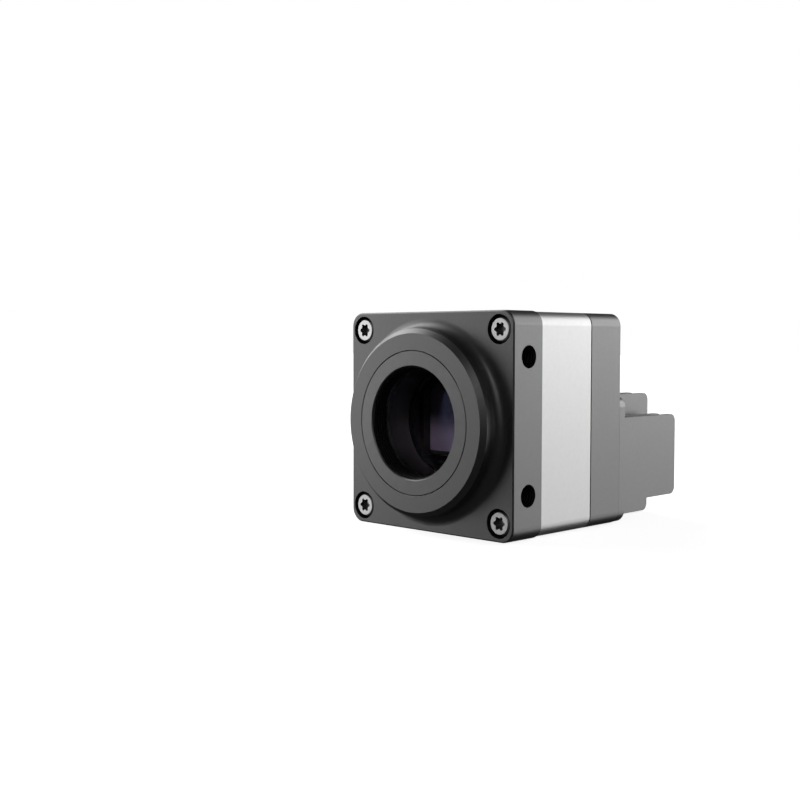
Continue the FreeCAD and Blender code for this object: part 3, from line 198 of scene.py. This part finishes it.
class Finish:
    """A node material built on one Principled shader, with helpers for its grain and its marks."""

    def __init__(self, name, colour, rough, metal=0.0, **sockets):
        self.material = bpy.data.materials.new(name)
        self.material.use_nodes = True
        self.tree = self.material.node_tree
        self.shader = self.tree.nodes["Principled BSDF"]
        self.colour = colour
        self.shader.inputs["Base Color"].default_value = colour
        self.shader.inputs["Roughness"].default_value = rough
        self.shader.inputs["Metallic"].default_value = metal
        for socket, setting in sockets.items():
            self.shader.inputs[socket.replace("_", " ")].default_value = setting

    def add(self, kind, **settings):
        return add_node(self.tree, kind, **settings)

    def link(self, source, target):
        self.tree.links.new(source, target)

    def place(self, stretch=(1, 1, 1)):
        """Object coordinates in millimetres, squeezed along some axes."""
        source = self.add("ShaderNodeTexCoord").outputs["Object"]
        mapping = self.add("ShaderNodeMapping")
        mapping.inputs["Scale"].default_value = [part / MM for part in stretch]
        self.link(source, mapping.inputs["Vector"])
        return mapping.outputs["Vector"]

    def along(self, axis):
        """One object coordinate in millimetres."""
        parts = self.add("ShaderNodeSeparateXYZ")
        self.link(self.place(), parts.inputs["Vector"])
        return parts.outputs[axis]

    def noise(self, cells, detail, stretch=(1, 1, 1)):
        """Noise with so many cells in each millimetre."""
        texture = self.add("ShaderNodeTexNoise")
        texture.inputs["Scale"].default_value = cells
        texture.inputs["Detail"].default_value = detail
        self.link(self.place(stretch), texture.inputs["Vector"])
        return texture.outputs["Fac"]

    def spread(self, factor, low, high, target):
        """Sends a noise to a socket as values from low to high."""
        span = self.add("ShaderNodeMapRange")
        span.inputs["From Min"].default_value = NOISE_LOW
        span.inputs["From Max"].default_value = NOISE_HIGH
        span.inputs["To Min"].default_value = low
        span.inputs["To Max"].default_value = high
        self.link(factor, span.inputs["Value"])
        self.link(span.outputs["Result"], target)

    def roughen(self, factor, low, high):
        """Varies the roughness from low to high."""
        self.spread(factor, low, high, self.shader.inputs["Roughness"])

    def mottle(self, factor, strength):
        """Varies the colour a little, lighter and darker."""
        mix = self.add("ShaderNodeMix", data_type="RGBA")
        tint = self.colour[:3]
        dark = tuple(part * (1 - strength) for part in tint) + (1.0,)
        light = tuple(min(1.0, part * (1 + strength)) for part in tint) + (1.0,)
        mix.inputs["A"].default_value = dark
        mix.inputs["B"].default_value = light
        self.spread(factor, 0.0, 1.0, mix.inputs["Factor"])
        self.link(mix.outputs["Result"], self.shader.inputs["Base Color"])

    def shade(self, factor, share):
        """Darkens the mottled colour to a share of itself where the factor is 0."""
        source = self.shader.inputs["Base Color"].links[0].from_socket
        mix = self.add("ShaderNodeMix", data_type="RGBA", blend_type="MULTIPLY")
        mix.inputs["Factor"].default_value = 1.0
        self.link(source, mix.inputs["A"])
        tone = self.add("ShaderNodeMapRange")
        tone.inputs["To Min"].default_value = share
        tone.inputs["To Max"].default_value = 1.0
        self.link(factor, tone.inputs["Value"])
        self.link(tone.outputs["Result"], mix.inputs["B"])
        self.link(mix.outputs["Result"], self.shader.inputs["Base Color"])

    def bump(self, factor, depth):
        """Raises the surface by up to depth millimetres."""
        node = self.add("ShaderNodeBump")
        node.inputs["Distance"].default_value = depth * MM
        node.inputs["Strength"].default_value = 1.0
        self.link(factor, node.inputs["Height"])
        self.link(node.outputs["Normal"], self.shader.inputs["Normal"])


def blasted_finish(name, colour, rough, metal, grain=0.006, mottling=0.02):
    """Anodised aluminium with the fine even grain of bead blasting."""
    finish = Finish(name, colour, rough, metal)
    finish.mottle(finish.noise(cells=1.1, detail=3.0), mottling)
    low, high = rough - BLASTED_SWING, rough + BLASTED_SWING
    finish.roughen(finish.noise(cells=2.4, detail=2.0), low, high)
    finish.bump(finish.noise(cells=7.0, detail=2.0), grain)
    return finish


def blasted_metal(*settings):
    """The material of a blasted finish that needs no marks."""
    return blasted_finish(*settings).material


def bore_shaded_metal(name, colour, rough, metal):
    """Blasted metal with shade painted into its colour inside the bore of the lens mount."""
    finish = blasted_finish(name, colour, rough, metal)
    reach = finish.add("ShaderNodeVectorMath", operation="LENGTH")
    finish.link(finish.place((1, 0, 1)), reach.inputs[0])
    outside = arithmetic(finish.tree, "GREATER_THAN", reach.outputs["Value"], BORE_REACH)
    # Painted shade: the metal is darker inside the bore.
    finish.shade(outside, BORE_SHADE_SHARE)
    return finish.material


def turned_metal(name, colour, rough, metal):
    """Metal with fine tool rings about the optical axis."""
    finish = Finish(name, colour, rough, metal)
    rings = finish.add("ShaderNodeTexWave", wave_type="RINGS", rings_direction="Y")
    rings.inputs["Scale"].default_value = 1.6
    rings.inputs["Distortion"].default_value = 0.4
    finish.link(finish.place(), rings.inputs["Vector"])
    finish.mottle(finish.noise(cells=0.5, detail=3.0), strength=0.04)
    finish.bump(rings.outputs["Fac"], depth=0.002)
    return finish.material


def plated_metal(name, colour, rough):
    """Smooth plated metal with faint uneven polish."""
    finish = Finish(name, colour, rough, metal=1.0)
    finish.mottle(finish.noise(cells=0.8, detail=3.0), strength=0.04)
    finish.roughen(finish.noise(cells=2.2, detail=3.0), rough * PLATED_LOW, rough * PLATED_HIGH)
    return finish.material


def screw_metal(name, colour, rough):
    """Satin plating, bright on the faces of the heads, with shade painted into its colour in their
    recesses and below them.
    """
    finish = Finish(name, colour, rough, metal=1.0)
    finish.mottle(finish.noise(cells=3.0, detail=3.0), strength=0.05)
    depth = finish.along("Y")
    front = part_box("case_screws")[0].y / MM + HEAD_SHADE
    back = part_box("heat_sink_screws")[1].y / MM - HEAD_SHADE
    ahead = arithmetic(finish.tree, "LESS_THAN", depth, front)
    behind = arithmetic(finish.tree, "GREATER_THAN", depth, back)
    # Painted shade: all but the heads' faces are darker, in the recesses and below the heads.
    finish.shade(arithmetic(finish.tree, "MAXIMUM", ahead, behind), RECESS_SHADE_SHARE)
    return finish.material


def moulded(name, colour, rough, grain=0.004):
    """Moulded plastic, rubber or ceramic with a fine skin."""
    finish = Finish(name, colour, rough)
    finish.mottle(finish.noise(cells=0.6, detail=3.0), strength=0.08)
    finish.bump(finish.noise(cells=5.0, detail=3.0), grain)
    return finish.material


def clear_glass(name):
    """Coated glass: clear, with a thin film that tints its reflections."""
    return Finish(name, WHITE, GLASS_ROUGH, Transmission_Weight=1.0, IOR=GLASS_IOR,
                  Thin_Film_Thickness=COATING_THICKNESS, Thin_Film_IOR=COATING_IOR).material


def sensor_surface(name, colour, rough):
    """The sensor's face: violet, with a reflection painted into its colour low down, near black
    above.
    """
    finish = Finish(name, colour, rough, Specular_IOR_Level=0.3,
                    Specular_Tint=(0.75, 0.5, 1.0, 1.0))
    finish.mottle(finish.noise(cells=0.2, detail=1.0), strength=0.05)
    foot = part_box("sensor_die")[0].z / MM
    # Painted reflection: the sensor is lighter low down and darker higher up.
    painted_sheen = ramp(finish.tree, finish.along("Z"), foot + PAINTED_SHEEN_TOP, foot + PAINTED_SHEEN_FULL, 0.0, 1.0)
    finish.shade(painted_sheen, PAINTED_SHEEN_SHARE)
    return finish.material


def circuit_board(name, colour, rough):
    """Solder resist over a weave of copper tracks."""
    finish = Finish(name, colour, rough)
    finish.mottle(finish.noise(cells=0.9, detail=2.0, stretch=(1.0, 1.0, 4.0)), strength=0.35)
    finish.bump(finish.noise(cells=1.1, detail=1.0, stretch=(3.0, 1.0, 1.0)), depth=0.03)
    return finish.material


# Each material: how it is made, and then its colour, its roughness, for blasted and turned metal
# how metallic it is, and its own grain and mottling where it has them
RECIPES = {
    "housing_grey": (bore_shaded_metal, grey(130), 0.4, 0.9),
    "mount_ring_grey": (turned_metal, grey(130), 0.36, 0.9),
    "rear_grey": (blasted_metal, grey(134), 0.4, 0.9),
    "sink_grey": (blasted_metal, grey(136), 0.38, 0.9),
    "sleeve_silver": (blasted_metal, grey(218), 0.42, 0.9, 0.004, 0.015),
    # Painted shade: the threads are much darker than the metal they are cut in, for the shade
    # inside their holes.
    "thread_dark": (blasted_metal, grey(44), 0.55, 0.7),
    "seal_rubber": (moulded, grey(28), 0.7),
    "filter_glass": (clear_glass,),
    "black_metal": (blasted_metal, grey(24), 0.5, 0.2),
    "ceramic": (moulded, grey(48, (1.0, 0.97, 1.0)), 0.45),
    "sensor_purple": (sensor_surface, (0.38, 0.285, 0.46, 1.0), 0.22),
    "cover_glass": (clear_glass,),
    "board_green": (circuit_board, (0.01, 0.08, 0.03, 1.0), 0.3),
    "black_plastic": (moulded, grey(26), 0.4),
    "chip_black": (moulded, grey(34), 0.5),
    "thermal_pad": (moulded, grey(150, (0.8, 0.9, 1.0)), 0.8, 0.01),
    "standoff_brass": (plated_metal, (0.62, 0.45, 0.16, 1.0), 0.3),
    "screw_nickel": (screw_metal, grey(254), 0.42),
    "jack_gold": (plated_metal, (0.46, 0.36, 0.15, 1.0), 0.3),
    "insulator_white": (moulded, grey(205, (1.0, 0.98, 0.92)), 0.5),
    "nut_bright": (plated_metal, grey(232), 0.12),
    "socket_bright": (plated_metal, grey(222), 0.2),
    "insulator_grey": (moulded, grey(88, (0.98, 0.98, 1.02)), 0.45),
    "lamp_green": (moulded, (0.004, 0.05, 0.01, 1.0), 0.3),
    "lamp_white": (moulded, grey(215), 0.35),
    "print_pale": (moulded, grey(250), 0.6, 0.0),
    # Painted shade: the dark plates in the screw heads stand in for the shade in their sockets.
    "recess_dark": (moulded, grey(20), 0.6, 0.0),
}
MATERIALS = {name: make(name, *settings) for name, (make, *settings) in RECIPES.items()}


def dress_nodes():
    """Each CAD node gets the finish of its slot in the record."""
    for entry in frame["record"]["subparts"]:
        piece = frame["nodes"][entry["node"]]
        piece.data.materials.clear()
        piece.data.materials.append(MATERIALS[entry["material_slot"]])


def new_piece(name, data):
    """An object in the scene that shows a mesh, a curve or a camera."""
    piece = bpy.data.objects.new(name, data)
    bpy.context.scene.collection.objects.link(piece)
    return piece


def shape(name, vertices, faces, material):
    """A detail piece from points in millimetres; it belongs to the camera's body."""
    mesh = bpy.data.meshes.new(name)
    mesh.from_pydata([Vector(vertex) * MM for vertex in vertices], [], faces)
    mesh.materials.append(MATERIALS[material])
    piece = new_piece(name, mesh)
    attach(piece, "root")
    return piece


def thread(name, centre, axis, outer, crest, pitch, length):
    """A helical ridge inside a round hole, from its mouth inwards along the axis."""
    axis = Vector(axis)
    across = axis.orthogonal().normalized()
    upright = axis.cross(across)
    profile = tuple(zip((outer, crest, crest, outer), RIDGE_SHARES))
    steps = int(length / pitch * THREAD_SEGMENTS)
    vertices, faces = [], []
    for step in range(steps + 1):
        angle = 2 * math.pi * step / THREAD_SEGMENTS
        ray = math.cos(angle) * across + math.sin(angle) * upright
        for radius, share in profile:
            depth = pitch * (step / THREAD_SEGMENTS + share)
            vertices.append(Vector(centre) + radius * ray + depth * axis)
    count = len(profile)
    for step in range(steps):
        for edge in range(count):
            first, second = step * count + edge, step * count + (edge + 1) % count
            faces.append((first, second, second + count, first + count))
    faces.append(tuple(reversed(range(count))))
    faces.append(tuple(range(len(vertices) - count, len(vertices))))
    # The ridge's dark material is painted shade inside the hole.
    piece = shape(name, vertices, faces, "thread_dark")
    for face in piece.data.polygons:
        face.use_smooth = True


def add_threads():
    """The lens thread in the mount ring and the four threads in the sides."""
    ring_low, ring_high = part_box("lens_mount_ring")
    mouth = ring_low.y / MM + LENS_START
    length = (ring_high.y - ring_low.y) / MM - LENS_START - LENS_END
    thread("lens_thread", (0, mouth, 0), (0, 1, 0), LENS_RADIUS, LENS_CREST, LENS_PITCH, length)
    for mount in frame["record"]["mounts"]:
        if not mount["name"].startswith("side_hole"):
            continue
        outwards = Vector(mount["axis"])
        length = mount["dims"]["length_mm"]
        mouth = Vector(mount["pos_m"]) / MM + (length / 2 - SIDE_START) * outwards
        thread(mount["name"] + "_thread", mouth, -outwards, SIDE_RADIUS, SIDE_CREST, SIDE_PITCH,
               length - SIDE_START - SIDE_END)


def add_recesses():
    """The hexagonal sockets in the heads of the heat sink's screws, as thin dark plates of painted
    shade in place of holes.
    """
    low, high = [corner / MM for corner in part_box("heat_sink_screws")]
    rows = (("lower", low.z + SINK_HEAD_RADIUS), ("upper", high.z - SINK_HEAD_RADIUS))
    sides = (("left", low.x + SINK_HEAD_RADIUS), ("right", high.x - SINK_HEAD_RADIUS))
    levels = (high.y - SOCKET_THICKNESS / 2, high.y + SOCKET_THICKNESS / 2)
    turns = [math.radians(360 / SOCKET_CORNERS * corner) for corner in range(SOCKET_CORNERS)]
    faces = [tuple(range(SOCKET_CORNERS)),
             tuple(reversed(range(SOCKET_CORNERS, 2 * SOCKET_CORNERS)))]
    for edge in range(SOCKET_CORNERS):
        after = (edge + 1) % SOCKET_CORNERS
        faces.append((edge, edge + SOCKET_CORNERS, after + SOCKET_CORNERS, after))
    for row, z in rows:
        for side, x in sides:
            vertices = [(x + SOCKET_RADIUS * math.cos(turn), y, z + SOCKET_RADIUS * math.sin(turn))
                        for y in levels for turn in turns]
            shape(f"sink_screw_socket_{row}_{side}", vertices, faces, "recess_dark")


def add_prints():
    """Plain numerals beside the connectors on the rear face."""
    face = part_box("rear_housing")[1].y / MM
    for name, text, x, z, height in PRINTS:
        curve = bpy.data.curves.new(name, "FONT")
        curve.body = text
        curve.align_x, curve.align_y = "CENTER", "CENTER"
        curve.size = height * MM / CAPITAL_SHARE
        curve.extrude = PRINT_THICKNESS / 2 * MM
        curve.materials.append(MATERIALS["print_pale"])
        source = new_piece(name, curve)
        bpy.context.view_layer.update()
        mesh = bpy.data.meshes.new_from_object(source)
        bpy.data.objects.remove(source)
        piece = new_piece(name, mesh)
        # The numerals stand on the rear face and are read from behind.
        stand = Matrix.Rotation(math.pi, 4, "Z") @ Matrix.Rotation(math.pi / 2, 4, "X")
        spot = Vector((x, face + PRINT_THICKNESS / 2, z)) * MM
        mesh.transform(Matrix.Translation(spot) @ stand)
        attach(piece, "root")


def add_camera():
    """The photo's camera."""
    yaw, pitch, roll = map(math.radians, (CAMERA_YAW, CAMERA_PITCH, CAMERA_ROLL))
    ahead = Vector((-math.sin(yaw) * math.cos(pitch), math.cos(yaw) * math.cos(pitch),
                    -math.sin(pitch)))
    level = Vector((math.cos(yaw), math.sin(yaw), 0))
    upright = level.cross(ahead)
    right = math.cos(roll) * level + math.sin(roll) * upright
    up = math.cos(roll) * upright - math.sin(roll) * level
    data = bpy.data.cameras.new("photo_camera")
    data.sensor_width = FILM_WIDTH
    data.lens = FOCAL_PIXELS / PICTURE_PIXELS * FILM_WIDTH
    data.clip_start = CLIP_NEAR
    data.clip_end = CLIP_FAR
    camera = new_piece("photo_camera", data)
    turn = Matrix((right, up, -ahead)).transposed().to_4x4()
    camera.matrix_world = Matrix.Translation(Vector(CAMERA_PLACE) * MM) @ turn
    bpy.context.scene.camera = camera


def towards(bearing, height):
    """The unit vector of a bearing, from the front over the left side, and a height in degrees."""
    turn, rise = math.radians(bearing), math.radians(height)
    return (-math.sin(turn) * math.cos(rise), -math.cos(turn) * math.cos(rise), math.sin(rise))


def add_world():
    """A dark room with soft lit panels, white where the camera or glass looks at it."""
    world = bpy.data.worlds.new("studio")
    bpy.context.scene.world = world
    world.use_nodes = True
    tree = world.node_tree
    ground = tree.nodes["Background"]
    ground.inputs["Color"].default_value = WHITE
    direction = add_node(tree, "ShaderNodeTexCoord").outputs["Generated"]
    total = ROOM_LEVEL
    for bearing, height, spread, level in PANELS:
        facing = add_node(tree, "ShaderNodeVectorMath", operation="DOT_PRODUCT")
        tree.links.new(direction, facing.inputs[0])
        facing.inputs[1].default_value = towards(bearing, height)
        edge = math.cos(math.radians(spread))
        panel = ramp(tree, facing.outputs["Value"], edge, 1.0, 0.0, level)
        total = arithmetic(tree, "ADD", panel, total)
    path = add_node(tree, "ShaderNodeLightPath").outputs
    clear = arithmetic(tree, "MAXIMUM", path["Is Camera Ray"], path["Is Transmission Ray"])
    dim = arithmetic(tree, "MULTIPLY", total, arithmetic(tree, "SUBTRACT", 1.0, clear))
    tree.links.new(arithmetic(tree, "ADD", dim, clear), ground.inputs["Strength"])


def floor_material():
    """White around the object to the camera, with its soft shadow, and dull to other rays."""
    material = bpy.data.materials.new("floor")
    material.use_nodes = True
    tree = material.node_tree
    shader = tree.nodes["Principled BSDF"]
    shader.inputs["Base Color"].default_value = (FLOOR_PALE, FLOOR_PALE, FLOOR_PALE, 1)
    shader.inputs["Roughness"].default_value = 1.0
    shader.inputs["Specular IOR Level"].default_value = 0.0
    shader.inputs["Emission Color"].default_value = WHITE
    place = add_node(tree, "ShaderNodeTexCoord").outputs["Object"]
    reach = add_node(tree, "ShaderNodeVectorMath", operation="LENGTH")
    tree.links.new(place, reach.inputs[0])
    distance = reach.outputs["Value"]
    lift = ramp(tree, distance, FLOOR_NEAR * MM, FLOOR_FAR * MM, FLOOR_LIFT, 1.0)
    tree.links.new(lift, shader.inputs["Emission Strength"])
    dull = add_node(tree, "ShaderNodeBsdfDiffuse")
    dull.inputs["Color"].default_value = (FLOOR_DULL, FLOOR_DULL, FLOOR_DULL, 1)
    mix = add_node(tree, "ShaderNodeMixShader")
    seen = add_node(tree, "ShaderNodeLightPath").outputs["Is Camera Ray"]
    tree.links.new(seen, mix.inputs["Fac"])
    tree.links.new(dull.outputs["BSDF"], mix.inputs[1])
    tree.links.new(shader.outputs["BSDF"], mix.inputs[2])
    tree.links.new(mix.outputs["Shader"], tree.nodes["Material Output"].inputs["Surface"])
    return material


def add_floor():
    """A pale floor under the object, left out of its reflections."""
    mesh = bpy.data.meshes.new("floor")
    corners = [(x * FLOOR_REACH, y * FLOOR_REACH, cad_low.z)
               for x, y in ((-1, -1), (1, -1), (1, 1), (-1, 1))]
    mesh.from_pydata(corners, [], [(0, 1, 2, 3)])
    mesh.materials.append(floor_material())
    floor = new_piece("floor", mesh)
    floor.visible_glossy = False


add_camera()
add_world()
add_floor()
dress_nodes()
add_threads()
add_recesses()
add_prints()

bpy.context.scene.view_settings.view_transform = "Standard"
